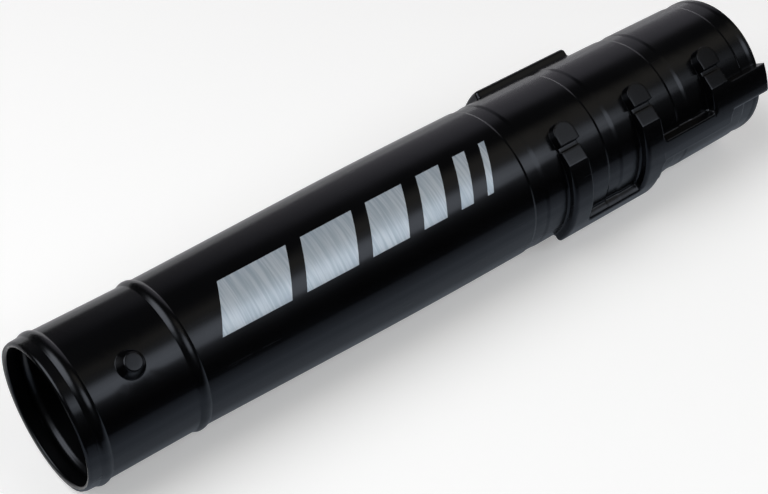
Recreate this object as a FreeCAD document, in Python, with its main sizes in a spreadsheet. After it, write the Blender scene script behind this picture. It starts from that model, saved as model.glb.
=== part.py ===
import FreeCAD, Part
import math
import os
import Sketcher

# A blow-moulded nozzle tube of a leaf blower, in millimetres.
# It is drawn along its own axis: X from the outlet mouth to the inlet end, Z towards the outlet lug.
# Angles round the tube are measured from Z towards -Y. The finished tube is then rolled and laid on the ground.
# One form is drawn twice, as the skin and, inset by the wall, as the air inside it. The tube is what is between.

doc = FreeCAD.newDocument("nozzle_tube_drawing")

SIZES = {
    "wall": 2.0,
    # the tube, from the outlet mouth on
    "mouth_diameter": 72.2,
    "collar_diameter": 72.8,
    "mouth_lead": 9.0,
    "bead_spacing": 50.2,
    "bead_width": 7.2,
    "bead_height": 1.0,
    "cone_start_diameter": 73.3,
    "cone_length": 87.2,
    "swell_length": 75.0,
    "swell_rise": 0.8,
    "barrel_diameter": 78.6,
    "barrel_length": 25.0,
    # the neck rings that mark the length stages, and the inlet end
    "stage_pitch": 50.0,
    "neck_width": 10.0,
    "neck_depth": 0.5,
    "inlet_length": 2.5,
    "inlet_diameter": 76.2,
    "rim_rounding": 0.7,
    # the round lugs on the collar
    "lug_spacing": 24.5,
    "lug_foot_diameter": 11.6,
    "lug_top_diameter": 9.0,
    "lug_height": 5.4,
    "lug_rounding": 0.9,
    # the raised channel, with its twist slots and lock pockets
    "channel_rise": 4.5,
    "slot_setback": 22.7,
    "slot_width": 12.6,
    "far_section_start": 71.5,
    "far_section_width": 22.0,
    "middle_section_start": 38.0,
    "middle_section_width": 17.0,
    "entry_section_start": 22.0,
    "entry_section_width": 22.0,
    "pocket_arch_reach": 6.3,
    "pocket_roof_reach": 5.1,
    "notch_width": 2.5,
    "notch_drop": 3.8,
    "bridge_drop": 2.8,
    "corner_rounding": 2.5,
    "edge_rounding": 1.2,
    # how it lies on the ground
    "rest_roll": 36.4,
}
NECKS = 4
SECTIONS = ("far", "middle", "entry")
ROOT_SHARE = 0.8
NEAR = 1e-4

sheet = doc.addObject("Spreadsheet::Sheet", "Sizes")
for row, (name, number) in enumerate(SIZES.items(), start=1):
    sheet.set(f"A{row}", name)
    sheet.set(f"B{row}", str(number))
    sheet.setAlias(f"B{row}", name)
doc.recompute()


class Size:
    """A number together with the expression that gives it from the sheet."""

    def __init__(self, value, text):
        self.value = value
        self.text = text

    def __add__(self, other):
        other = plain(other)
        return Size(self.value + other.value, f"({self.text} + {other.text})")

    def __sub__(self, other):
        other = plain(other)
        return Size(self.value - other.value, f"({self.text} - {other.text})")

    def __mul__(self, other):
        other = plain(other)
        return Size(self.value * other.value, f"({self.text} * {other.text})")

    def __truediv__(self, other):
        other = plain(other)
        return Size(self.value / other.value, f"({self.text} / {other.text})")

    def __neg__(self):
        return Size(-self.value, f"(0 - {self.text})")


def plain(number):
    return number if isinstance(number, Size) else Size(float(number), str(number))


def size(name):
    return Size(float(sheet.get(name)), f"Sizes.{name}")


ZERO = plain(0)
DEGREES = 180 / math.pi
wall = size("wall")
barrel = size("barrel_diameter") / 2
inlet = size("inlet_diameter") / 2
collar = size("collar_diameter") / 2
channel = barrel + size("channel_rise")
# the raised blocks are rooted inside the tube
root = inlet * ROOT_SHARE

bead_two_place = size("mouth_lead") + size("bead_spacing")
cone_place = bead_two_place + size("bead_width") / 2
swell_place = cone_place + size("cone_length")
barrel_place = swell_place + size("swell_length")
first_neck_place = barrel_place + size("barrel_length")


def stage_place(stage):
    return first_neck_place + size("stage_pitch") * stage


tube_length = stage_place(NECKS - 1) + size("neck_width") + size("inlet_length")


def origin_feature(body, role):
    return next(item for item in body.Origin.OriginFeatures if item.Role == role)


def new_sketch(body, name, plane, roll=None, lift=None):
    """A sketch on one of the body's own planes, rolled round X by an angle or lifted along the plane's normal."""
    sketch = body.newObject("Sketcher::SketchObject", name)
    sketch.AttachmentSupport = [(origin_feature(body, plane), "")]
    sketch.MapMode = "FlatFace"
    if roll is not None:
        turn = FreeCAD.Rotation(FreeCAD.Vector(1, 0, 0), roll.value)
        sketch.AttachmentOffset = FreeCAD.Placement(FreeCAD.Vector(0, 0, 0), turn)
        sketch.setExpression("AttachmentOffset.Rotation.Angle", f"{roll.text} * 1 deg")
    if lift is not None:
        sketch.setExpression("AttachmentOffset.Base.z", lift.text)
    return sketch


def arc_between(start, end, radius):
    """An arc from start to end; a positive radius bulges to the left of the way from start to end."""
    chord = end - start
    middle = (start + end) * 0.5
    left = FreeCAD.Vector(-chord.y, chord.x, 0).normalize()
    centre_depth = math.sqrt(max(radius * radius - chord.Length * chord.Length / 4, 0.0))
    side = 1.0 if radius > 0 else -1.0
    crest = middle + left * side * (abs(radius) - centre_depth)
    return Part.Arc(start, crest, end)


def draw_outline(sketch, corners):
    """A closed outline. Each corner is (x, y), or (x, y, radius) where an arc leads from it to the next corner."""
    points = [FreeCAD.Vector(corner[0].value, corner[1].value, 0) for corner in corners]
    starts = []
    for index, corner in enumerate(corners):
        start, end = points[index], points[(index + 1) % len(points)]
        if len(corner) == 3:
            made = sketch.addGeometry(arc_between(start, end, corner[2].value))
            begins = (sketch.getPoint(made, 1) - start).Length < (sketch.getPoint(made, 2) - start).Length
            starts.append((made, 1 if begins else 2))
        else:
            starts.append((sketch.addGeometry(Part.LineSegment(start, end)), 1))
    for index, corner in enumerate(corners):
        made, first = starts[index]
        follower, follower_first = starts[(index + 1) % len(corners)]
        sketch.addConstraint(Sketcher.Constraint("Coincident", made, 3 - first, follower, follower_first))
        for axis, place in (("X", corner[0]), ("Y", corner[1])):
            if place is ZERO:
                line = -2 if axis == "X" else -1
                sketch.addConstraint(Sketcher.Constraint("PointOnObject", made, first, line))
            else:
                rule = Sketcher.Constraint("Distance" + axis, -1, 1, made, first, place.value)
                number = sketch.addConstraint(rule)
                sketch.setExpression(f"Constraints[{number}]", place.text)
        if len(corner) == 3:
            radius = corner[2] if corner[2].value > 0 else -corner[2]
            number = sketch.addConstraint(Sketcher.Constraint("Radius", made, radius.value))
            sketch.setExpression(f"Constraints[{number}]", radius.text)


def rectangle(near, far, left, right):
    return [(near, left), (near, right), (far, right), (far, left)]


def bow_radius(width, height):
    """Radius of an arc that rises by height over a chord of that width."""
    return (width * width / 4 + height * height) / (height * 2)


def drum_radius(place):
    """The staged end tapers from the barrel to the inlet rim."""
    return barrel - (barrel - inlet) * (place - first_neck_place) / (tube_length - first_neck_place)


def tube_profile(inset):
    """Half section of the tube, from the axis to its skin. Only the skin has its two rims rounded."""
    mouth = size("mouth_diameter") / 2 - inset
    half_bead = size("bead_width") / 2
    bead_bow = bow_radius(size("bead_width"), size("bead_height"))
    neck_bow = bow_radius(size("neck_width"), size("neck_depth"))
    run, rise = size("swell_length"), size("swell_rise")
    swell_bow = (run * run + rise * rise) / (rise * 2)
    rim = size("rim_rounding")
    corners = [(ZERO, ZERO)]
    if inset is ZERO:
        corners += [(ZERO, mouth - rim, rim), (rim, mouth)]
    else:
        corners += [(ZERO, mouth)]
    corners += [
        (size("mouth_lead") - half_bead, collar - inset, bead_bow),
        (size("mouth_lead") + half_bead, collar - inset),
        (bead_two_place - half_bead, collar - inset, bead_bow),
        (cone_place, size("cone_start_diameter") / 2 - inset),
        (swell_place, barrel - rise - inset, swell_bow),
        (barrel_place, barrel - inset),
    ]
    for stage in range(NECKS):
        place = stage_place(stage)
        after = place + size("neck_width")
        corners += [(place, drum_radius(place) - inset, -neck_bow), (after, drum_radius(after) - inset)]
    if inset is ZERO:
        corners += [(tube_length - rim, inlet, rim), (tube_length, inlet - rim)]
    else:
        corners += [(tube_length, inlet - inset)]
    corners += [(tube_length, ZERO)]
    return corners


def revolve(body, name, sketch, angle=None, axis="H_Axis"):
    feature = body.newObject("PartDesign::Revolution", name)
    feature.Profile = sketch
    feature.ReferenceAxis = (sketch, [axis])
    feature.Angle = 360.0 if angle is None else angle.value
    if angle is not None:
        feature.setExpression("Angle", angle.text)
    doc.recompute()
    return feature


def sector(body, name, start, end, near, far, high):
    """A block that fills the tube's angle from start to end, near to far along it, out to a radius."""
    sketch = new_sketch(body, name + "_profile", "XZ_Plane", roll=start)
    draw_outline(sketch, rectangle(near, far, root, high))
    return revolve(body, name, sketch, end - start)


def upright(body, kind, name, corners, foot, height):
    """A pad or a pocket on a plane across the lug side, from its foot up to a height."""
    sketch = new_sketch(body, name + "_plan", "XY_Plane", lift=foot)
    draw_outline(sketch, corners)
    feature = body.newObject(kind, name)
    feature.Profile = sketch
    rise = height - foot
    feature.Length = rise.value
    feature.setExpression("Length", rise.text)
    feature.Reversed = kind == "PartDesign::Pocket"
    doc.recompute()
    return feature


def lug(body, name, inset):
    """A round lug on the collar, turned about its own axis."""
    place = size("mouth_lead") + size("lug_spacing")
    foot = place + size("lug_foot_diameter") / 2 - inset
    edge = place + size("lug_top_diameter") / 2 - inset
    top = collar + size("lug_height") - inset
    rounding = size("lug_rounding")
    corners = [(place, root), (foot, root), (foot, collar - inset)]
    if inset is ZERO:
        corners += [(edge, top - rounding, -rounding), (edge - rounding, top)]
    else:
        corners += [(edge, top)]
    corners += [(place, top)]
    sketch = new_sketch(body, name + "_profile", "XZ_Plane")
    draw_outline(sketch, corners)
    return revolve(body, name, sketch, axis=f"Edge{len(corners)}")


def slot_range(stage):
    near = stage_place(stage) + size("slot_setback")
    return near, near + size("slot_width")


def section_start(section):
    return size(section + "_section_start")


def section_end(section):
    return section_start(section) + size(section + "_section_width")


def slot_end(stage):
    """A twist slot crosses both the section that leads to it and the one that leads on from it."""
    ends = [section_end(section) for section in SECTIONS[max(stage - 1, 0) : stage + 1]]
    return max(ends, key=lambda end: end.value)


def out_of_axis(point):
    return math.hypot(point.y, point.z)


def angle_of(point):
    """The angle round the tube, the same on both sides of it."""
    return math.degrees(math.atan2(-point.y, point.z)) % 180


def start_middle_end(edge):
    first, last = edge.ParameterRange
    return [edge.valueAt(first + (last - first) * share) for share in (0.0, 0.5, 1.0)]


def is_corner(edge):
    """A corner of the channel's outline, which stands straight out from the tube's axis."""
    start, middle, end = start_middle_end(edge)
    across = abs(start.x - end.x) < NEAR
    straight_out = abs(start.y * end.z - start.z * end.y) < NEAR
    tall = abs(out_of_axis(end) - out_of_axis(start)) > size("channel_rise").value
    beside_pocket = abs(middle.y) < NEAR
    at_inlet = abs(middle.x - tube_length.value) < NEAR
    return across and straight_out and tall and not (beside_pocket or at_inlet)


def is_outer_edge(edge):
    """An edge of the channel's outer face or a pocket's roof, but not at the notch, the bridge or the inlet."""
    points = start_middle_end(edge)
    start, middle, end = points
    top = channel.value
    on_channel = all(abs(out_of_axis(point) - top) < NEAR for point in points)
    on_roof = all(abs(abs(point.z) - top) < NEAR for point in points)
    along = abs(start.x - end.x) > NEAR and abs(start.y - end.y) < NEAR
    at_notch = on_roof and along
    bridge_end = along and abs(abs(middle.z) - (top - size("bridge_drop").value)) < NEAR
    past_last_slot = middle.x > slot_range(len(SECTIONS) - 1)[1].value - NEAR
    by_bridge = past_last_slot and on_channel and angle_of(middle) < section_start("entry").value + NEAR
    at_inlet = all(abs(point.x - tube_length.value) < NEAR for point in points)
    return (on_channel or on_roof) and not (at_notch or bridge_end or by_bridge or at_inlet)


def round_off(body, name, chosen, radius):
    base = body.Tip
    edges = [f"Edge{number}" for number, edge in enumerate(base.Shape.Edges, start=1) if chosen(edge)]
    feature = body.newObject("PartDesign::Fillet", name)
    feature.Base = (base, edges)
    feature.Radius = radius.value
    feature.setExpression("Radius", radius.text)
    doc.recompute()


def pocket_plan(near, far, arch, reach):
    """The lock pocket seen from outside: straight sides and a round end."""
    half = (far - near) / 2
    return [
        (near, -reach),
        (near, arch - half, half),
        (near + half, arch, half),
        (far, arch - half),
        (far, -reach),
    ]


def form(name, inset):
    """The tube with all that stands out of it as one solid, drawn inset by that much all over."""
    body = doc.addObject("PartDesign::Body", name)
    body.AllowCompound = True
    pad, pocket = "PartDesign::Pad", "PartDesign::Pocket"
    top = channel - inset
    shrink = inset / top * DEGREES
    roof, arch = size("pocket_roof_reach") - inset, size("pocket_arch_reach") - inset
    notch_end = size("pocket_roof_reach") + size("notch_width") + inset
    notch, bridge = top - size("notch_drop"), top - size("bridge_drop")
    raised = []
    for stage, section in enumerate(SECTIONS):
        label = f"{name}_{section}"
        near, far = slot_range(stage)
        near, far = near + inset, far - inset
        # a section runs on to the next twist slot, and the entry section out at the inlet end
        last = tube_length if section == SECTIONS[-1] else slot_range(stage + 1)[1] - inset
        start, end = section_start(section) + shrink, section_end(section) - shrink
        raised += [
            sector(body, label + "_section", start, end, near, last, top),
            sector(body, label + "_slot", ZERO, slot_end(stage) - shrink, near, far, top),
            upright(body, pad, label + "_pocket", pocket_plan(near, far, arch, roof), root, top),
            upright(body, pocket, label + "_bridge", rectangle(near, far, -channel, -notch_end), bridge, channel),
            upright(body, pocket, label + "_notch", rectangle(near, far, -notch_end, -roof), notch, channel),
        ]
    raised.append(lug(body, name + "_lug", inset))
    pair = body.newObject("PartDesign::PolarPattern", name + "_pair")
    pair.Originals = raised
    pair.Axis = (origin_feature(body, "X_Axis"), [""])
    pair.Angle = 360.0
    pair.Occurrences = 2
    body.Tip = pair
    doc.recompute()
    if inset is ZERO:
        round_off(body, name + "_corners", is_corner, size("corner_rounding"))
        round_off(body, name + "_edges", is_outer_edge, size("edge_rounding"))
    sketch = new_sketch(body, name + "_tube_profile", "XZ_Plane")
    draw_outline(sketch, tube_profile(inset))
    revolve(body, name + "_tube", sketch)
    return body


tube = doc.addObject("Part::Cut", "nozzle_tube")
tube.Label = "nozzle_tube"
tube.Base = form("skin", ZERO)
tube.Tool = form("air", wall)
turn = FreeCAD.Rotation(FreeCAD.Vector(1, 0, 0), size("rest_roll").value)
tube.Placement = FreeCAD.Placement(FreeCAD.Vector(0, 0, 0), turn)
tube.setExpression("Placement.Rotation.Angle", "Sizes.rest_roll * 1 deg")
tube.setExpression("Placement.Base.x", (-tube_length / 2).text)
tube.setExpression("Placement.Base.z", barrel.text)
doc.recompute()

for item in doc.Objects:
    if "Invalid" in item.State or "Error" in item.State:
        raise RuntimeError(f"{item.Name} could not be made")
    if hasattr(item, "Shape") and (item.Shape.isNull() or not item.Shape.isValid()):
        raise RuntimeError(f"{item.Name} has no valid shape")
if len(tube.Shape.Solids) != 1:
    raise RuntimeError("the tube is not one solid")

os.makedirs("parts", exist_ok=True)
tube.Shape.exportStep("parts/nozzle_tube.step")
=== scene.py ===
import math
import bmesh
import bpy
from mathutils import Matrix, Vector


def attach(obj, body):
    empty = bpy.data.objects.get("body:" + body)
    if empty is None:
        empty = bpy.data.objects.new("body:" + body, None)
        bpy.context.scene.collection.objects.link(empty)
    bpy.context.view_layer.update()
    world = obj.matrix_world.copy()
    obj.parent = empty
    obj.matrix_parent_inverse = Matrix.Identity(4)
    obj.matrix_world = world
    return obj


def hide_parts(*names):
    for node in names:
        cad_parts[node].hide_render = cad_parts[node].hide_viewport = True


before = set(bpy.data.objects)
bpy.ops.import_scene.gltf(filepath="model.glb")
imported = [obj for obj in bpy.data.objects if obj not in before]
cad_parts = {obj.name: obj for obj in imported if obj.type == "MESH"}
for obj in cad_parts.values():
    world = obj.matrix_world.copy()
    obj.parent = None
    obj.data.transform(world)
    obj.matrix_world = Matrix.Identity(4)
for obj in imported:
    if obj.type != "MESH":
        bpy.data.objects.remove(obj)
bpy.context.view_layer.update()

# A blow-moulded nozzle tube, lying on a white floor. The tube's sizes are in millimetres.
# Its axis runs along X from the outlet mouth.
# A place on its skin is a distance from the mouth and a way round.
# The way round is measured at the barrel from the lug line, and grows towards the entry channel.
MILLIMETRE = 0.001

# the plain tube
WALL = 2.0
MOUTH_RADIUS = 36.1
COLLAR_RADIUS = 36.4
BEAD_PLACES = (9.0, 59.2)
BEAD_HALF_WIDTH, BEAD_HEIGHT = 2.9, 1.05
LIP_LENGTH, LIP_DROP = 2.1, 0.5
CONE_START, CONE_START_RADIUS = 62.8, 36.65
SWELL_START, SWELL_START_RADIUS = 150.0, 38.5
BARREL_START, BARREL_RADIUS = 225.0, 39.3
NECK_PLACES = (250.0, 300.0, 350.0, 400.0)
NECK_STEP, NECK_WIDTH, NECK_DEPTH = 1.1, 10.0, 0.45
NECK_LIP, NECK_LIP_LENGTH = 0.3, 1.8
TUBE_LENGTH, INLET_RADIUS = 412.5, 38.1
MOUTH_ROUNDING, RIM_ROUNDING = 1.2, 0.35
REST_ROLL = math.radians(36.4)
AXIS_HEIGHT = BARREL_RADIUS


def round_way(degrees):
    return math.radians(degrees) * BARREL_RADIUS


# the raised channel, its twist slots and its lock pockets
CHANNEL_RADIUS = 43.8
SLOT_PLACES, SLOT_WIDTH = (279.0, 329.0, 379.0), 12.6
SLOTS = tuple((middle - SLOT_WIDTH / 2, middle + SLOT_WIDTH / 2) for middle in SLOT_PLACES)
FAR_SECTION = (round_way(71.5), round_way(93.5))
MIDDLE_SECTION = (round_way(38.0), round_way(55.0))
ENTRY_SECTION = (round_way(22.0), round_way(44.0))
POCKET_END = -6.35
ROOF_END, ROOF_HEIGHT = 5.15, 43.8
NOTCH_END, NOTCH_HEIGHT = 7.7, 40.0
BRIDGE_END, BRIDGE_HEIGHT = 15.0, 41.0
FOOT_ROUNDING, POCKET_FOOT_ROUNDING = 1.4, 0.1
ROUND_EDGE, CRISP_EDGE, POCKET_EDGE = 2.2, 0.8, 0.5
LEDGE_ROUNDING = 0.45
WINDOW_SLANT = 0.74
CORNER_ROUNDING, CORNER_MARGIN, CORNER_FADE = 2.5, 0.1, 0.9
BEYOND = 1000.0

# walls stand upright up to the first of these angles, and straight out from the axis past the second
UPRIGHT_END, LEANING_START = math.radians(12.0), math.radians(20.0)

# each raised patch's start and end along the tube, and its start and end on the way round
RAISED_PATCHES = (
    (*SLOTS[0], POCKET_END, FAR_SECTION[1]),
    (SLOTS[0][0], SLOTS[1][1], *FAR_SECTION),
    (*SLOTS[1], POCKET_END, FAR_SECTION[1]),
    (SLOTS[1][0], SLOTS[2][1], *MIDDLE_SECTION),
    (*SLOTS[2], POCKET_END, MIDDLE_SECTION[1]),
    (SLOTS[2][0], BEYOND, *ENTRY_SECTION),
)

# the round lug on the collar
LUG_PLACE = 33.5
LUG_FOOT_RADIUS, LUG_TOP_RADIUS = 6.4, 4.5
LUG_TOP_HEIGHT = 41.8
LUG_FOOT_ROUNDING, LUG_TOP_ROUNDING = 0.5, 0.9
LUG_KEEP, LUG_FADE = 1.05, 2.0
LUG_SCALE = COLLAR_RADIUS / BARREL_RADIUS

# where the skin's mesh lines lie at the lip and across a slot, in shares of its width, and beside a wall,
# a ledge, a bead, a neck, the lug's middle and the inlet, and how wide the gaps between the lines may be
LIP_LINES = (0.0, 1.4, 1.75, LIP_LENGTH, 2.5, 4.2)
SLOT_SHARES = (0.25, 0.375, 0.5, 0.625, 0.75)
WALL_LINES = (-1.4, -0.75, -0.3, -0.04, 0.03, 0.25, 0.7, 1.4, 2.2)
LEDGE_LINES = (-0.45, -0.2, -0.05, 0.05, 0.2, 0.45)
BEAD_LINES = (0.0, 0.6, 1.2, 1.8, 2.3, 2.65, 2.9, 3.2)
NECK_LINES = (-0.35, 0.0, 0.35, 0.75, 1.1, 1.5, 7.8, 8.2, 8.7, 9.5, 10.0, 10.4)
LUG_LINES = (0.0, 1.8, 3.6, 3.85, 4.15, 4.4, 4.55, 6.35, 6.45, 6.58, 6.73, 6.9, 8.6, 10.8, 13.2)
INLET_LINE = 1.6
LONG_GAP, ROUND_GAP, LEAST_GAP = 10.0, 4.2, 0.04
SEAM = round_way(-45.0)
GRID_SIZE = 2.0

# how near points are welded, in metres, and how much a rim's side face and end face look along the tube
WELD_REACH, FINE_WELD_REACH = 1e-5, 1e-6
SIDE_FACING, END_FACING = 0.7, 0.95
RIM_STEPS = 4
FLAT_WEIGHT = 50

# the printed bars: each bar's start and end along the row, in a frame slanted to the lug line
BARS = ((0.0, 37.0), (45.5, 74.0), (82.5, 103.5), (112.0, 126.0), (134.5, 142.5), (151.0, 155.0))
BARS_START, BARS_LENGTH = 79.0, 160.0
BARS_MIDDLE, BARS_HEIGHT = 3.5, 25.0
BAR_SLANT = -0.45

BLACK, WHITE = (0.0, 0.0, 0.0, 1.0), (1.0, 1.0, 1.0, 1.0)

# the plastic, its drag marks and cloudy gloss, and the ink
PLASTIC_COLOUR, SCUFF_COLOUR = (0.0012, 0.0012, 0.0014, 1.0), (0.0045, 0.0045, 0.005, 1.0)
PLASTIC_SHINE, PLASTIC_TINT = 0.33, (0.82, 0.88, 1.0, 1.0)
PLASTIC_ROUGHNESS = (0.205, 0.265)
SCUFF_ROUGHNESS, INSIDE_ROUGHNESS = 0.08, 0.07
DRAG_STRETCH, DRAG_LIMITS = (14.0, 420.0, 420.0), (0.64, 0.74)
PATCH_LIMITS, CLOUD_LIMITS = (0.48, 0.66), (0.25, 0.75)
INSIDE_LIMITS = (-0.02, 0.0)
GRAIN_HEIGHT = 0.06
BUMP_STRENGTH, BUMP_DISTANCE = 0.35, 0.0002
INK_COLOURS = (0.36, 0.43, 0.50, 1.0), (0.52, 0.58, 0.64, 1.0)
INK_STRETCH, INK_LIMITS = (900.0, 40.0, 40.0), (0.3, 0.7)
INK_METAL, INK_ROUGHNESS = 0.35, 0.38

# the stage, in metres: the floor, which is lifted to white far out, and the sheets that only the gloss
# shows, which paint shade into the floor's reflection in the tube
FLOOR_SIZE, FLOOR_HEIGHT = 40.0, -0.0002
FLOOR_COLOUR, FLOOR_ROUGHNESS = (0.9, 0.9, 0.9, 1.0), 0.9
FLOOR_LIFT, FLOOR_LIFT_REACH = 0.3, (0.45, 1.2)
# the heights and ends of the sheets of painted shade, which lie just over the floor
SHADE_SHEET_HEIGHT, BLACK_SHADE_SHEET_HEIGHT = -0.0001, -0.00005
SHADE_SHEET_LEFT, SHADE_SHEET_RIGHT = -0.5, 3.0
# the front sheet: where it paints shade, bluish near the tube, into the floor's reflection, and how its far
# edge is lifted
FRONT_NEAR, FRONT_FAR, FRONT_LIFT = -0.01, -0.27, (0.0, -0.1, 0.085)
# the back sheet, which paints grey shade into the floor's reflection, and the tints of the two sheets
BACK_SHADE_NEAR, BACK_SHADE_FAR = 0.07, 1.6
FRONT_REFLECTION_TINT, BACK_SHADE_TINT = (0.78, 0.87, 1.0, 1.0), (0.62, 0.62, 0.64, 1.0)
# the black of the sheets that paint shade into the floor's reflection
REFLECTED_SHADE_COLOUR = (0.004, 0.004, 0.004, 1.0)

# how much painted shade the front sheet lays on the floor's reflection, at shares of the way from its near
# edge to its far one; the darker start next to the tube paints the tube's contact shadow into the reflection
FRONT_REFLECTED_SHADE = ((0.0, 0.53), (0.25, 0.33), (1.0, 1.0))

# each black sheet that paints shade into the floor's reflection: its name, left and right end, and back and
# front edge
BLACK_SHADE_SHEETS = (
    ("mouth cloth", -0.5, -0.205, -0.13, -0.6),
    ("side cloth", -8.0, -0.5, 4.0, -4.0),
)

# the panel lights: name, place, aim, width and height, brightness and colour
PANEL_CORE = 0.45
PANELS = (
    ("key panel", (0.47, -0.83, 0.90), (0.47, 0.0, 0.04), (1.6, 0.76), 2.8, (0.96, 0.98, 1.0)),
    ("top panel", (0.9, -0.30, 1.20), (0.9, 0.0, 0.04), (2.4, 0.8), 0.45, (1.0, 0.88, 0.70)),
    ("back panel", (1.7, 1.2, 0.56), (1.7, 0.0, 0.56), (3.6, 3.1), 0.48, (0.95, 0.91, 1.0)),
    ("side panel", (-0.88, 0.26, 1.27), (-0.2, 0.0, 0.04), (2.1, 1.75), 3.6, (1.0, 1.0, 1.0)),
)
ROOM_COLOUR = (0.03, 0.03, 0.03, 1.0)

# the camera
LENS, SENSOR, NEAREST = 77.09, 36.0, 0.01
CAMERA_PLACE = (-0.38925, -0.46266, 0.56830)
CAMERA_FORWARD, CAMERA_RIGHT = (0.4636, 0.5795, -0.6703), (0.7809, -0.6247, 0.0)


def soft_step(low, high, value):
    share = min(max((value - low) / (high - low), 0.0), 1.0)
    return share * share * (3.0 - 2.0 * share)


def between(value, start, end, start_height, end_height):
    return start_height + (end_height - start_height) * (value - start) / (end - start)


def bow_rise(offset, half_width, height):
    """The height of a round bow at an offset from its middle."""
    if abs(offset) > half_width:
        return 0.0
    bow = (half_width**2 + height**2) / (2.0 * height)
    return math.sqrt(bow**2 - offset**2) - bow + height


def skin_radius(place):
    """The plain tube's outer radius at a distance from the mouth."""
    collar_start = BEAD_PLACES[0] - BEAD_HALF_WIDTH
    collar_end = BEAD_PLACES[1] - BEAD_HALF_WIDTH
    if place < collar_start:
        radius = between(place, 0.0, collar_start, MOUTH_RADIUS, COLLAR_RADIUS)
        radius -= LIP_DROP * max(1.0 - place / LIP_LENGTH, 0.0) ** 2
    elif place < collar_end:
        radius = COLLAR_RADIUS
    elif place < CONE_START:
        radius = between(place, collar_end, CONE_START, COLLAR_RADIUS, CONE_START_RADIUS)
    elif place < SWELL_START:
        radius = between(place, CONE_START, SWELL_START, CONE_START_RADIUS, SWELL_START_RADIUS)
    elif place < BARREL_START:
        left = (BARREL_START - place) / (BARREL_START - SWELL_START)
        radius = BARREL_RADIUS - (BARREL_RADIUS - SWELL_START_RADIUS) * left * left
    elif place < NECK_PLACES[0]:
        radius = BARREL_RADIUS
    else:
        radius = between(place, NECK_PLACES[0], TUBE_LENGTH, BARREL_RADIUS, INLET_RADIUS)
    for bead in BEAD_PLACES:
        radius += bow_rise(place - bead, BEAD_HALF_WIDTH, BEAD_HEIGHT)
    for neck in NECK_PLACES:
        left = neck + NECK_WIDTH - place
        if 0.0 < left < NECK_WIDTH:
            step = NECK_DEPTH * (place - neck) / NECK_STEP
            slope = between(left, NECK_LIP_LENGTH, NECK_WIDTH - NECK_STEP, NECK_LIP, NECK_DEPTH)
            lip = NECK_LIP * left / NECK_LIP_LENGTH
            radius -= min(step, slope, lip)
    return radius


def rounded_rise(depth, height, foot, edge, slant=0.0):
    """How far a wall has risen at a depth inside its line, with its foot and its top edge rounded."""
    if depth <= -foot:
        return 0.0
    if depth < 0.0:
        return foot - math.sqrt(foot**2 - (foot + depth) ** 2)
    if depth < slant:
        return between(depth, 0.0, slant, foot, height - edge)
    if depth < slant + edge:
        return height - edge + math.sqrt(edge**2 - (slant + edge - depth) ** 2)
    return height


def edges_of(patches, first):
    return sorted({value for patch in patches for value in patch[first : first + 2]})


def inside(patch, place, way):
    return patch[0] < place < patch[1] and patch[2] < way < patch[3]


def sort_cells():
    """The raised and the bare cells between all the patches' edges."""
    places = [-BEYOND, *edges_of(RAISED_PATCHES, 0)]
    ways = [-BEYOND, *edges_of(RAISED_PATCHES, 2), BEYOND]
    raised, bare = {}, {}
    for column in range(len(places) - 1):
        for row in range(len(ways) - 1):
            cell = (places[column], places[column + 1], ways[row], ways[row + 1])
            middle = ((cell[0] + cell[1]) / 2, (cell[2] + cell[3]) / 2)
            kind = raised if any(inside(patch, *middle) for patch in RAISED_PATCHES) else bare
            kind[column, row] = cell
    return places, ways, raised, bare


CELL_PLACES, CELL_WAYS, RAISED_CELLS, BARE_CELLS = sort_cells()


def away_from(cell, place, way):
    return max(cell[0] - place, place - cell[1], cell[2] - way, way - cell[3], 0.0)


def faces_softly(cell, place, way):
    """Whether a bare cell lies at an edge that faces the mouth or the floor, or at the far section's end."""
    below = cell[2] >= way and cell[0] <= place
    at_far_end = cell[0] >= SLOTS[1][1] and cell[2] >= FAR_SECTION[0]
    return cell[1] <= place or below or at_far_end


def depths_inside(place, way):
    """How deep a place lies inside the raised patches, from their round edges and from their crisp ones.

    The third value is how far the crisp edge's wall slants.
    """
    outside = min(away_from(cell, place, way) for cell in RAISED_CELLS.values())
    if outside > 0.0:
        return -outside, -outside, 0.0
    round_cells = [cell for cell in BARE_CELLS.values() if faces_softly(cell, place, way)]
    crisp_cells = [cell for cell in BARE_CELLS.values() if not faces_softly(cell, place, way)]
    round_depth = min(away_from(cell, place, way) for cell in round_cells)
    crisp_depth, crisp_cell = min((away_from(cell, place, way), cell) for cell in crisp_cells)
    slant = 0.0
    if crisp_cell[3] == FAR_SECTION[0] < way:
        slant = WINDOW_SLANT * ((way - crisp_cell[3]) / crisp_depth) ** 2
    return round_depth, crisp_depth, slant


def find_corners():
    """Each corner of the raised outline: its rounding's middle, the way out from there, and the rounding."""
    corners = []
    for column in range(1, len(CELL_PLACES) - 1):
        for row in range(1, len(CELL_WAYS) - 1):
            around = {(side, up): (column + min(side, 0), row + min(up, 0)) in RAISED_CELLS
                      for side in (-1, 1) for up in (-1, 1)}
            raised = [key for key, value in around.items() if value]
            bare = [key for key, value in around.items() if not value]
            odd_ones = next((keys for keys in (raised, bare) if len(keys) == 1), [])
            for side, up in odd_ones:
                at_pocket = CELL_WAYS[row] == POCKET_END
                rounding = SLOT_WIDTH / 2 if at_pocket else CORNER_ROUNDING
                middle = (CELL_PLACES[column] + side * rounding, CELL_WAYS[row] + up * rounding)
                corners.append((*middle, -side, -up, rounding))
    return corners


CORNERS = find_corners()


def square_to_round(across, along, keep, fade):
    """Turns squares round the origin into circles as far as keep, and leaves places beyond fade alone."""
    reach = max(abs(across), abs(along))
    if reach == 0.0 or reach >= fade:
        return across, along
    side, up = across / reach, along / reach
    share = 1.0 - soft_step(keep, fade, reach)
    round_side = side * math.sqrt(1.0 - up * up / 2.0)
    round_up = up * math.sqrt(1.0 - side * side / 2.0)
    return across + (round_side * reach - across) * share, along + (round_up * reach - along) * share


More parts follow.
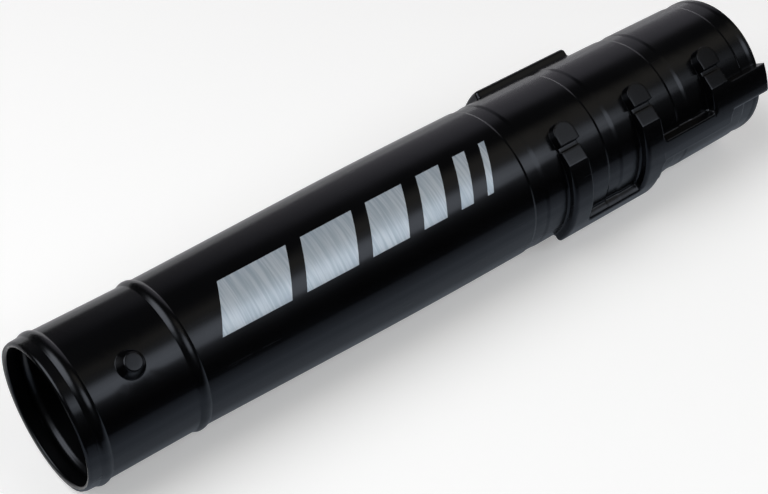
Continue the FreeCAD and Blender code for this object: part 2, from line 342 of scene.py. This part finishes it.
def rounded_place(place, way):
    """Moves a place so that the raised outline's corners and the lug become round."""
    for middle, middle_way, side, up, rounding in CORNERS:
        across, along = (place - middle) * side / rounding, (way - middle_way) * up / rounding
        keep = 1.0 + (ROUND_EDGE + CORNER_MARGIN) / rounding
        fade = keep + CORNER_FADE
        if 0.0 < across < fade and 0.0 < along < fade:
            across, along = square_to_round(across, along, keep, fade)
            return middle + across * side * rounding, middle_way + along * up * rounding
    foot = LUG_FOOT_RADIUS + LUG_FOOT_ROUNDING
    across, along = (place - LUG_PLACE) / foot, way * LUG_SCALE / foot
    across, along = square_to_round(across, along, LUG_KEEP, LUG_FADE)
    return LUG_PLACE + across * foot, along * foot / LUG_SCALE


def reach_cylinder(out, up, lean, radius):
    """How far along a leaning line a point is from a cylinder round the axis."""
    along = out * math.sin(lean) + up * math.cos(lean)
    return math.sqrt(along**2 - out**2 - up**2 + radius**2) - along


def reach_top(out, up, lean, way):
    """How far along a leaning line a point of the skin is from the raised top."""
    channel = reach_cylinder(out, up, lean, CHANNEL_RADIUS)
    if way > MIDDLE_SECTION[0]:
        return channel
    roof = (ROOF_HEIGHT - up) / math.cos(lean)
    notch = (NOTCH_HEIGHT - up) / math.cos(lean)
    bridge = min((BRIDGE_HEIGHT - up) / math.cos(lean), channel)
    if way < (ROOF_END + NOTCH_END) / 2:
        return notch + rounded_rise(ROOF_END - way, roof - notch, LEDGE_ROUNDING, LEDGE_ROUNDING)
    return notch + rounded_rise(way - NOTCH_END, bridge - notch, LEDGE_ROUNDING, LEDGE_ROUNDING)


def lug_rise(radius, height):
    """How far the lug has risen at a radius from its own axis."""
    fillet_end = LUG_FOOT_RADIUS + LUG_FOOT_ROUNDING
    flat_end = LUG_TOP_RADIUS - LUG_TOP_ROUNDING
    if radius >= LUG_FOOT_RADIUS:
        return LUG_FOOT_ROUNDING - math.sqrt(LUG_FOOT_ROUNDING**2 - (fillet_end - radius) ** 2)
    if radius > LUG_TOP_RADIUS:
        edge_height = height - LUG_TOP_ROUNDING
        return between(radius, LUG_FOOT_RADIUS, LUG_TOP_RADIUS, LUG_FOOT_ROUNDING, edge_height)
    if radius > flat_end:
        return height - LUG_TOP_ROUNDING + math.sqrt(LUG_TOP_ROUNDING**2 - (radius - flat_end) ** 2)
    return height


def skin_point(place, way):
    """Where a place on the skin lies in the room, in metres."""
    round_depth, crisp_depth, slant = depths_inside(place, way)
    lug_reach = max(abs(place - LUG_PLACE), abs(way) * LUG_SCALE)
    place, way = rounded_place(place, way)
    angle = way / BARREL_RADIUS
    radius = skin_radius(place)
    out, up = radius * math.sin(angle), radius * math.cos(angle)
    lean = angle * soft_step(UPRIGHT_END, LEANING_START, angle)
    rise = 0.0
    if round_depth > -FOOT_ROUNDING:
        past_pocket = soft_step(BRIDGE_END, MIDDLE_SECTION[0], way)
        foot = POCKET_FOOT_ROUNDING + (FOOT_ROUNDING - POCKET_FOOT_ROUNDING) * past_pocket
        height = reach_top(out, up, lean, way)
        round_edge = POCKET_EDGE + (ROUND_EDGE - POCKET_EDGE) * past_pocket
        crisp_edge = POCKET_EDGE + (CRISP_EDGE - POCKET_EDGE) * past_pocket
        round_rise = rounded_rise(round_depth, height, foot, round_edge)
        rise = min(round_rise, rounded_rise(crisp_depth, height, foot, crisp_edge, slant))
    elif lug_reach < LUG_FOOT_RADIUS + LUG_FOOT_ROUNDING:
        rise = lug_rise(lug_reach, LUG_TOP_HEIGHT - up)
    out, up = out + rise * math.sin(lean), up + rise * math.cos(lean)
    side = -out * math.cos(REST_ROLL) - up * math.sin(REST_ROLL)
    height = -out * math.sin(REST_ROLL) + up * math.cos(REST_ROLL) + AXIS_HEIGHT
    return Vector((place - TUBE_LENGTH / 2, side, height)) * MILLIMETRE


def filled(lines, gap):
    """The lines in order, without doubles, with more lines put evenly into every wide gap."""
    ordered = []
    for line in sorted(lines):
        if not ordered or line - ordered[-1] > LEAST_GAP:
            ordered.append(line)
    whole = [ordered[0]]
    for line in ordered[1:]:
        steps = math.ceil((line - whole[-1]) / gap)
        start = whole[-1]
        whole += [start + (line - start) * step / steps for step in range(1, steps + 1)]
    return whole


def long_lines():
    lines = [*LIP_LINES, CONE_START, SWELL_START, BARREL_START, TUBE_LENGTH - INLET_LINE, TUBE_LENGTH]
    lines += [bead + side * line for bead in BEAD_PLACES for line in BEAD_LINES for side in (-1, 1)]
    lines += [LUG_PLACE + side * line for line in LUG_LINES for side in (-1, 1)]
    lines += [neck + line for neck in NECK_PLACES for line in NECK_LINES]
    for near, far in SLOTS:
        lines += [near + line for line in WALL_LINES] + [far + line for line in WALL_LINES]
        lines += [near + (far - near) * share for share in SLOT_SHARES]
    return filled([line for line in lines if line <= TUBE_LENGTH], LONG_GAP)


def round_lines():
    lines = [SEAM, SEAM + math.pi * BARREL_RADIUS]
    lines += [side * line / LUG_SCALE for line in LUG_LINES for side in (-1, 1)]
    walls = [POCKET_END, *FAR_SECTION, *MIDDLE_SECTION, *ENTRY_SECTION]
    lines += [wall + line for wall in walls for line in WALL_LINES]
    lines += [ledge + line for ledge in (ROOF_END, NOTCH_END) for line in LEDGE_LINES]
    return filled(lines, ROUND_GAP)


def select_only(thing):
    bpy.ops.object.select_all(action="DESELECT")
    thing.select_set(True)
    bpy.context.view_layer.objects.active = thing


def apply_modifier(thing, name, kind, **settings):
    modifier = thing.modifiers.new(name, kind)
    for key, value in settings.items():
        setattr(modifier, key, value)
    select_only(thing)
    bpy.ops.object.modifier_apply(modifier=modifier.name)


def add_half_skin():
    """A flat grid with a line wherever the half skin needs one, wrapped into its shape."""
    places, ways = long_lines(), round_lines()
    bpy.ops.object.select_all(action="DESELECT")
    columns, rows = len(places) - 1, len(ways) - 1
    bpy.ops.mesh.primitive_grid_add(x_subdivisions=columns, y_subdivisions=rows, size=GRID_SIZE)
    skin = bpy.context.object
    skin.name = skin.data.name = "nozzle_tube_moulding"
    for vertex in skin.data.vertices:
        column = round((vertex.co.x / GRID_SIZE + 0.5) * columns)
        row = round((vertex.co.y / GRID_SIZE + 0.5) * rows)
        vertex.co = skin_point(places[column], ways[row])
    return skin


def close_skin(skin):
    """Copies the half to the opposite side, and turns all faces outwards."""
    select_only(skin)
    bpy.ops.object.mode_set(mode="EDIT")
    bpy.ops.mesh.select_all(action="SELECT")
    bpy.ops.mesh.duplicate()
    axis_point = (0.0, 0.0, AXIS_HEIGHT * MILLIMETRE)
    bpy.ops.transform.rotate(value=math.pi, orient_axis="X", center_override=axis_point)
    bpy.ops.mesh.select_all(action="SELECT")
    bpy.ops.mesh.remove_doubles(threshold=WELD_REACH)
    bpy.ops.mesh.normals_make_consistent(inside=False)
    bpy.ops.object.mode_set(mode="OBJECT")
    top = max(skin.data.polygons, key=lambda face: face.center.z)
    if top.normal.z < 0.0:
        skin.data.flip_normals()


def round_rim(skin, end, rounding, outer):
    """Rounds the outer or the inner edge of one cut end, the mouth's at -1 and the inlet's at 1."""
    select_only(skin)
    bpy.ops.object.mode_set(mode="EDIT")
    bpy.ops.mesh.select_mode(type="EDGE")
    bpy.ops.mesh.select_all(action="DESELECT")
    mesh = bmesh.from_edit_mesh(skin.data)
    axis_height = AXIS_HEIGHT * MILLIMETRE
    end_place = end * TUBE_LENGTH / 2 * MILLIMETRE
    for edge in mesh.edges:
        faces = sorted(edge.link_faces, key=lambda face: abs(face.normal.x))
        side_face, end_face = faces[0], faces[-1]
        at_end = all(abs(vertex.co.x - end_place) < WELD_REACH for vertex in edge.verts)
        if at_end and abs(side_face.normal.x) < SIDE_FACING and abs(end_face.normal.x) > END_FACING:
            middle, normal = side_face.calc_center_median(), side_face.normal
            faces_out = middle.y * normal.y + (middle.z - axis_height) * normal.z > 0.0
            edge.select_set(faces_out == outer)
    bmesh.update_edit_mesh(skin.data)
    bpy.ops.mesh.bevel(offset=rounding * MILLIMETRE, segments=RIM_STEPS, affect="EDGES")
    bpy.ops.object.mode_set(mode="OBJECT")


def shade_faces(skin):
    """Shades the skin smoothly with its flat faces kept flat, at a large size so that small faces count."""
    select_only(skin)
    bpy.ops.object.mode_set(mode="EDIT")
    bpy.ops.mesh.select_all(action="SELECT")
    bpy.ops.mesh.remove_doubles(threshold=FINE_WELD_REACH)
    bpy.ops.object.mode_set(mode="OBJECT")
    bpy.ops.object.shade_smooth()
    skin.data.transform(Matrix.Scale(1.0 / MILLIMETRE, 4))
    apply_modifier(skin, "flat faces", "WEIGHTED_NORMAL", weight=FLAT_WEIGHT, keep_sharp=True)
    skin.data.transform(Matrix.Scale(MILLIMETRE, 4))


def make_tube():
    skin = add_half_skin()
    close_skin(skin)
    apply_modifier(skin, "wall", "SOLIDIFY", thickness=WALL * MILLIMETRE, offset=-1.0)
    round_rim(skin, -1, MOUTH_ROUNDING, outer=True)
    round_rim(skin, -1, RIM_ROUNDING, outer=False)
    round_rim(skin, 1, RIM_ROUNDING, outer=True)
    round_rim(skin, 1, RIM_ROUNDING, outer=False)
    shade_faces(skin)
    return skin


def set_inputs(node, inputs):
    for key, value in inputs.items():
        node.inputs[key].default_value = value


def add_node(nodes, kind, inputs=None, **settings):
    node = nodes.new(kind)
    for key, value in settings.items():
        setattr(node, key, value)
    set_inputs(node, inputs or {})
    return node


def feed(links, socket, value):
    """Gives a socket a node's output, a number or a colour."""
    if isinstance(value, bpy.types.NodeSocket):
        links.new(value, socket)
    else:
        socket.default_value = value


def add_noise(nodes, links, place, scale, detail):
    noise = add_node(nodes, "ShaderNodeTexNoise", {"Scale": scale, "Detail": detail})
    links.new(place, noise.inputs["Vector"])
    return noise.outputs["Fac"]


def add_range(nodes, links, value, old, new=(0.0, 1.0)):
    """A value eased from an old range into a new one."""
    limits = {"From Min": old[0], "From Max": old[1], "To Min": new[0], "To Max": new[1]}
    change = add_node(nodes, "ShaderNodeMapRange", limits, interpolation_type="SMOOTHSTEP")
    links.new(value, change.inputs["Value"])
    return change.outputs["Result"]


def add_share(nodes, links, value, start, end):
    """How far a value has come from a start to an end."""
    share = add_node(nodes, "ShaderNodeMapRange", {"From Min": start, "From Max": end})
    links.new(value, share.inputs["Value"])
    return share.outputs["Result"]


def add_math(nodes, links, operation, first, second):
    """A sum worked out from two values, each a node's output or a number."""
    node = add_node(nodes, "ShaderNodeMath", operation=operation)
    feed(links, node.inputs[0], first)
    feed(links, node.inputs[1], second)
    return node.outputs["Value"]


def add_mix(nodes, links, factor, first, second, kind="RGBA"):
    """A mix of two colours or numbers, each a node's output or a value."""
    mix = add_node(nodes, "ShaderNodeMix", data_type=kind)
    links.new(factor, mix.inputs["Factor"])
    feed(links, mix.inputs["A"], first)
    feed(links, mix.inputs["B"], second)
    return mix.outputs["Result"]


def add_stretch(nodes, links, place, scales):
    stretch = add_node(nodes, "ShaderNodeVectorMath", {1: scales}, operation="MULTIPLY")
    links.new(place, stretch.inputs[0])
    return stretch.outputs["Vector"]


def make_group(name, inputs, outputs):
    group = bpy.data.node_groups.new(name, "ShaderNodeTree")
    for socket, kind in inputs:
        group.interface.new_socket(name=socket, in_out="INPUT", socket_type=kind)
    for socket, kind in outputs:
        group.interface.new_socket(name=socket, in_out="OUTPUT", socket_type=kind)
    start = group.nodes.new("NodeGroupInput")
    end = group.nodes.new("NodeGroupOutput")
    return group, start, end


def moulding_group():
    """What a blow mould leaves on plastic: a fine grain, slow ripples, uneven gloss and faint drag marks."""
    group, start, end = make_group(
        "blow moulding",
        (("Place", "NodeSocketVector"),),
        (("Roughness", "NodeSocketFloat"), ("Height", "NodeSocketFloat"), ("Scuff", "NodeSocketFloat")),
    )
    nodes, links = group.nodes, group.links
    place = start.outputs["Place"]
    grain = add_noise(nodes, links, place, scale=1500.0, detail=3.0)
    ripple = add_noise(nodes, links, place, scale=60.0, detail=1.0)
    cloud = add_noise(nodes, links, place, scale=22.0, detail=3.0)
    along = add_stretch(nodes, links, place, DRAG_STRETCH)
    drag = add_noise(nodes, links, along, scale=1.0, detail=2.0)
    drag_mark = add_range(nodes, links, drag, DRAG_LIMITS)
    patch = add_range(nodes, links, cloud, PATCH_LIMITS)
    scuff = add_math(nodes, links, "MULTIPLY", drag_mark, patch)
    cloudy = add_range(nodes, links, cloud, CLOUD_LIMITS, PLASTIC_ROUGHNESS)
    scuffed = add_math(nodes, links, "MULTIPLY", scuff, SCUFF_ROUGHNESS)
    fine = add_math(nodes, links, "MULTIPLY", grain, GRAIN_HEIGHT)
    links.new(add_math(nodes, links, "ADD", cloudy, scuffed), end.inputs["Roughness"])
    links.new(add_math(nodes, links, "ADD", fine, ripple), end.inputs["Height"])
    links.new(scuff, end.inputs["Scuff"])
    return group


def inside_group():
    """A mask of the surfaces that face the tube's own axis."""
    group, start, end = make_group(
        "inside of the tube",
        (("Place", "NodeSocketVector"), ("Facing", "NodeSocketVector")),
        (("Inside", "NodeSocketFloat"),),
    )
    nodes, links = group.nodes, group.links
    to_axis = {1: (0.0, 1.0, 1.0), 2: (0.0, 0.0, -AXIS_HEIGHT * MILLIMETRE)}
    across = add_node(nodes, "ShaderNodeVectorMath", to_axis, operation="MULTIPLY_ADD")
    turn = add_node(nodes, "ShaderNodeVectorMath", operation="DOT_PRODUCT")
    links.new(start.outputs["Place"], across.inputs[0])
    links.new(across.outputs["Vector"], turn.inputs[0])
    links.new(start.outputs["Facing"], turn.inputs[1])
    mask = add_range(nodes, links, turn.outputs["Value"], INSIDE_LIMITS, (1.0, 0.0))
    links.new(mask, end.inputs["Inside"])
    return group


def bars_group():
    """A row of slanted bars along the lug line, each narrower than the last, as a printed mask."""
    group, start, end = make_group(
        "printed bars",
        (("Place", "NodeSocketVector"),),
        (("Ink", "NodeSocketFloat"),),
    )
    nodes, links = group.nodes, group.links
    rest = {
        "Location": (-TUBE_LENGTH / 2 * MILLIMETRE, 0.0, AXIS_HEIGHT * MILLIMETRE),
        "Rotation": (REST_ROLL, 0.0, 0.0),
    }
    turned = add_node(nodes, "ShaderNodeMapping", rest, vector_type="TEXTURE")
    parts = add_node(nodes, "ShaderNodeSeparateXYZ")
    links.new(start.outputs["Place"], turned.inputs["Vector"])
    links.new(turned.outputs["Vector"], parts.inputs["Vector"])
    angle = add_math(nodes, links, "ARCTAN2", parts.outputs["Y"], parts.outputs["Z"])
    way = add_math(nodes, links, "MULTIPLY", angle, BARREL_RADIUS * MILLIMETRE)
    slanted = add_math(nodes, links, "MULTIPLY", way, BAR_SLANT)
    along = add_math(nodes, links, "ADD", parts.outputs["X"], slanted)
    row_start, row_end = BARS_START * MILLIMETRE, (BARS_START + BARS_LENGTH) * MILLIMETRE
    rows = add_node(nodes, "ShaderNodeValToRGB")
    rows.color_ramp.interpolation = "CONSTANT"
    stops = rows.color_ramp.elements
    stops.remove(stops[1])
    stops[0].color = BLACK
    for first, last in BARS:
        stops.new(first / BARS_LENGTH).color = WHITE
        stops.new(last / BARS_LENGTH).color = BLACK
    links.new(add_share(nodes, links, along, row_start, row_end), rows.inputs["Fac"])
    offset = add_math(nodes, links, "SUBTRACT", way, BARS_MIDDLE * MILLIMETRE)
    reach = add_math(nodes, links, "ABSOLUTE", offset, 0.0)
    height = add_math(nodes, links, "LESS_THAN", reach, BARS_HEIGHT / 2 * MILLIMETRE)
    links.new(add_math(nodes, links, "MULTIPLY", rows.outputs["Color"], height), end.inputs["Ink"])
    return group


def new_material(name):
    material = bpy.data.materials.new(name)
    material.use_nodes = True
    return material, material.node_tree.nodes, material.node_tree.links


def black_plastic():
    """Black blow-moulded plastic with a satin gloss, duller inside, and bars printed in silver-grey ink."""
    material, nodes, links = new_material("black moulded plastic")
    shader = nodes["Principled BSDF"]
    set_inputs(shader, {"Specular IOR Level": PLASTIC_SHINE, "Specular Tint": PLASTIC_TINT})
    coordinates = add_node(nodes, "ShaderNodeTexCoord")
    place = coordinates.outputs["Object"]
    moulding = add_node(nodes, "ShaderNodeGroup", node_tree=moulding_group())
    inside_mask = add_node(nodes, "ShaderNodeGroup", node_tree=inside_group())
    bars = add_node(nodes, "ShaderNodeGroup", node_tree=bars_group())
    for group in (moulding, inside_mask, bars):
        links.new(place, group.inputs["Place"])
    links.new(coordinates.outputs["Normal"], inside_mask.inputs["Facing"])
    outside = add_math(nodes, links, "SUBTRACT", 1.0, inside_mask.outputs["Inside"])
    ink = add_math(nodes, links, "MULTIPLY", bars.outputs["Ink"], outside)
    brushed = add_stretch(nodes, links, place, INK_STRETCH)
    streak = add_range(nodes, links, add_noise(nodes, links, brushed, scale=1.0, detail=3.0), INK_LIMITS)
    plastic = add_mix(nodes, links, moulding.outputs["Scuff"], PLASTIC_COLOUR, SCUFF_COLOUR)
    silver = add_mix(nodes, links, streak, *INK_COLOURS)
    links.new(add_mix(nodes, links, ink, plastic, silver), shader.inputs["Base Color"])
    links.new(add_math(nodes, links, "MULTIPLY", ink, INK_METAL), shader.inputs["Metallic"])
    dull = add_math(nodes, links, "MULTIPLY", inside_mask.outputs["Inside"], INSIDE_ROUGHNESS)
    bare = add_math(nodes, links, "ADD", moulding.outputs["Roughness"], dull)
    links.new(add_mix(nodes, links, ink, bare, INK_ROUGHNESS, "FLOAT"), shader.inputs["Roughness"])
    bump = add_node(nodes, "ShaderNodeBump", {"Strength": BUMP_STRENGTH, "Distance": BUMP_DISTANCE})
    links.new(moulding.outputs["Height"], bump.inputs["Height"])
    links.new(bump.outputs["Normal"], shader.inputs["Normal"])
    return material


def add_floor():
    """A wide floor that takes the tube's shadow, and looks white to the eye, in gloss and through glass."""
    bpy.ops.object.select_all(action="DESELECT")
    bpy.ops.mesh.primitive_plane_add(size=FLOOR_SIZE, location=(0.0, 0.0, FLOOR_HEIGHT))
    floor = bpy.context.object
    floor.name = "floor"
    material, nodes, links = new_material("white floor")
    shader = nodes["Principled BSDF"]
    set_inputs(shader, {"Base Color": FLOOR_COLOUR, "Roughness": FLOOR_ROUGHNESS})
    set_inputs(shader, {"Specular IOR Level": 0.0, "Emission Color": WHITE})
    ray = add_node(nodes, "ShaderNodeLightPath")
    seen = add_math(nodes, links, "MAXIMUM", ray.outputs["Is Camera Ray"], ray.outputs["Is Glossy Ray"])
    shown = add_math(nodes, links, "MAXIMUM", seen, ray.outputs["Is Transmission Ray"])
    place = add_node(nodes, "ShaderNodeTexCoord")
    reach = add_node(nodes, "ShaderNodeVectorMath", operation="LENGTH")
    links.new(place.outputs["Object"], reach.inputs[0])
    lift = add_range(nodes, links, reach.outputs["Value"], FLOOR_LIFT_REACH, (FLOOR_LIFT, 1.0))
    links.new(add_math(nodes, links, "MULTIPLY", shown, lift), shader.inputs["Emission Strength"])
    floor.data.materials.append(material)


def add_shade_sheet(name, left, right, back, front, height):
    """A sheet over the floor, seen only in the tube's gloss, where it paints shade into the floor's
    reflection.
    """
    bpy.ops.object.select_all(action="DESELECT")
    bpy.ops.mesh.primitive_plane_add(size=1.0)
    shade_sheet = bpy.context.object
    shade_sheet.name = name
    corners = [(along, across, height) for across in (back, front) for along in (left, right)]
    for vertex, corner in zip(shade_sheet.data.vertices, corners):
        vertex.co = corner
    shade_sheet.visible_camera = False
    shade_sheet.visible_diffuse = False
    shade_sheet.visible_shadow = False
    return shade_sheet


def lift_far_edge(shade_sheet):
    """Pulls a lifted strip out of the front sheet's far edge, so that its painted shade also stands above
    the floor in the reflection.
    """
    bpy.ops.object.mode_set(mode="EDIT")
    bpy.ops.mesh.select_mode(type="EDGE")
    bpy.ops.mesh.select_all(action="DESELECT")
    mesh = bmesh.from_edit_mesh(shade_sheet.data)
    for edge in mesh.edges:
        edge.select_set(all(abs(vertex.co.y - FRONT_FAR) < WELD_REACH for vertex in edge.verts))
    bpy.ops.mesh.extrude_region_move(TRANSFORM_OT_translate={"value": FRONT_LIFT})
    bpy.ops.object.mode_set(mode="OBJECT")


def add_front_shade_sheet():
    """A sheet in front of the tube, seen only in its gloss, which paints shade into the floor's reflection:
    thin and bluish at first and black beyond, with its far edge lifted.
    """
    shade_sheet = add_shade_sheet("front cloth", SHADE_SHEET_LEFT, SHADE_SHEET_RIGHT, FRONT_NEAR, FRONT_FAR, SHADE_SHEET_HEIGHT)
    lift_far_edge(shade_sheet)
    material, nodes, links = new_material("front cloth")
    nodes.clear()
    place = add_node(nodes, "ShaderNodeTexCoord")
    parts = add_node(nodes, "ShaderNodeSeparateXYZ")
    links.new(place.outputs["Object"], parts.inputs["Vector"])
    reflected_shade = add_node(nodes, "ShaderNodeValToRGB")
    stops = reflected_shade.color_ramp.elements
    stops.remove(stops[1])
    for at, weight in FRONT_REFLECTED_SHADE:
        stop = stops.new(at) if at > 0.0 else stops[0]
        stop.color = (weight, weight, weight, 1.0)
    links.new(add_share(nodes, links, parts.outputs["Y"], FRONT_NEAR, FRONT_FAR), reflected_shade.inputs["Fac"])
    black = add_node(nodes, "ShaderNodeBsdfDiffuse", {"Color": BLACK})
    clear = add_node(nodes, "ShaderNodeBsdfTransparent", {"Color": FRONT_REFLECTION_TINT})
    mix = add_node(nodes, "ShaderNodeMixShader")
    output = add_node(nodes, "ShaderNodeOutputMaterial")
    links.new(reflected_shade.outputs["Color"], mix.inputs["Fac"])
    links.new(clear.outputs["BSDF"], mix.inputs[1])
    links.new(black.outputs["BSDF"], mix.inputs[2])
    links.new(mix.outputs["Shader"], output.inputs["Surface"])
    shade_sheet.data.materials.append(material)


def add_back_shade_sheet():
    """A grey see-through sheet behind the tube, seen only in the gloss of its upper edge, where it paints
    shade on the floor's reflection.
    """
    shade_gel = add_shade_sheet("back gel", SHADE_SHEET_LEFT, SHADE_SHEET_RIGHT, BACK_SHADE_FAR, BACK_SHADE_NEAR, SHADE_SHEET_HEIGHT)
    material, nodes, links = new_material("grey gel")
    nodes.clear()
    clear = add_node(nodes, "ShaderNodeBsdfTransparent", {"Color": BACK_SHADE_TINT})
    output = add_node(nodes, "ShaderNodeOutputMaterial")
    links.new(clear.outputs["BSDF"], output.inputs["Surface"])
    shade_gel.data.materials.append(material)


def add_black_shade_sheets():
    """Black sheets before the mouth and beyond it, seen only in the gloss, which paint shade on the floor's
    reflection there, so that it doesn't shine inside the tube.
    """
    material, nodes, _ = new_material("black cloth")
    set_inputs(nodes["Principled BSDF"], {"Base Color": REFLECTED_SHADE_COLOUR, "Specular IOR Level": 0.0})
    for edges in BLACK_SHADE_SHEETS:
        add_shade_sheet(*edges, BLACK_SHADE_SHEET_HEIGHT).data.materials.append(material)


def add_panel_light(name, place, aim, size, radiance, colour):
    """A soft oval panel at a place, facing another place, brightest in its middle and fading to its rim."""
    light = bpy.data.lights.new(name, "AREA")
    light.shape = "ELLIPSE"
    light.size, light.size_y = size
    light.energy = radiance * math.pi * (size[0] * size[1] * math.pi / 4)
    light.color = colour
    light.use_nodes = True
    nodes, links = light.node_tree.nodes, light.node_tree.links
    middle, rim = (0.5, 0.5, 0.0), 0.5
    spot = add_node(nodes, "ShaderNodeNewGeometry")
    reach = add_node(nodes, "ShaderNodeVectorMath", {1: middle}, operation="DISTANCE")
    links.new(spot.outputs["Parametric"], reach.inputs[0])
    fade = add_range(nodes, links, reach.outputs["Value"], (rim, rim * PANEL_CORE))
    links.new(fade, nodes["Emission"].inputs["Strength"])
    panel = bpy.data.objects.new(name, light)
    bpy.context.scene.collection.objects.link(panel)
    panel.location = place
    panel.rotation_euler = (Vector(aim) - Vector(place)).to_track_quat("-Z", "Y").to_euler()
    panel.visible_camera = False


def add_camera():
    camera = bpy.data.cameras.new("camera")
    camera.sensor_fit = "HORIZONTAL"
    camera.sensor_width = SENSOR
    camera.lens = LENS
    camera.clip_start = NEAREST
    holder = bpy.data.objects.new("camera", camera)
    bpy.context.scene.collection.objects.link(holder)
    forward, right = Vector(CAMERA_FORWARD).normalized(), Vector(CAMERA_RIGHT).normalized()
    turn = Matrix((right, right.cross(forward), -forward)).transposed()
    holder.matrix_world = Matrix.Translation(CAMERA_PLACE) @ turn.to_4x4()
    bpy.context.scene.camera = holder


def set_world():
    """A dim room round the panels."""
    world = bpy.data.worlds.new("studio")
    bpy.context.scene.world = world
    world.use_nodes = True
    set_inputs(world.node_tree.nodes["Background"], {"Color": ROOM_COLOUR})


tube = make_tube()
tube.data.materials.clear()
tube.data.materials.append(black_plastic())
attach(tube, "root")
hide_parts("nozzle_tube")

add_floor()
add_front_shade_sheet()
add_back_shade_sheet()
add_black_shade_sheets()
add_camera()
set_world()
for panel in PANELS:
    add_panel_light(*panel)
bpy.context.scene.view_settings.view_transform = "Standard"
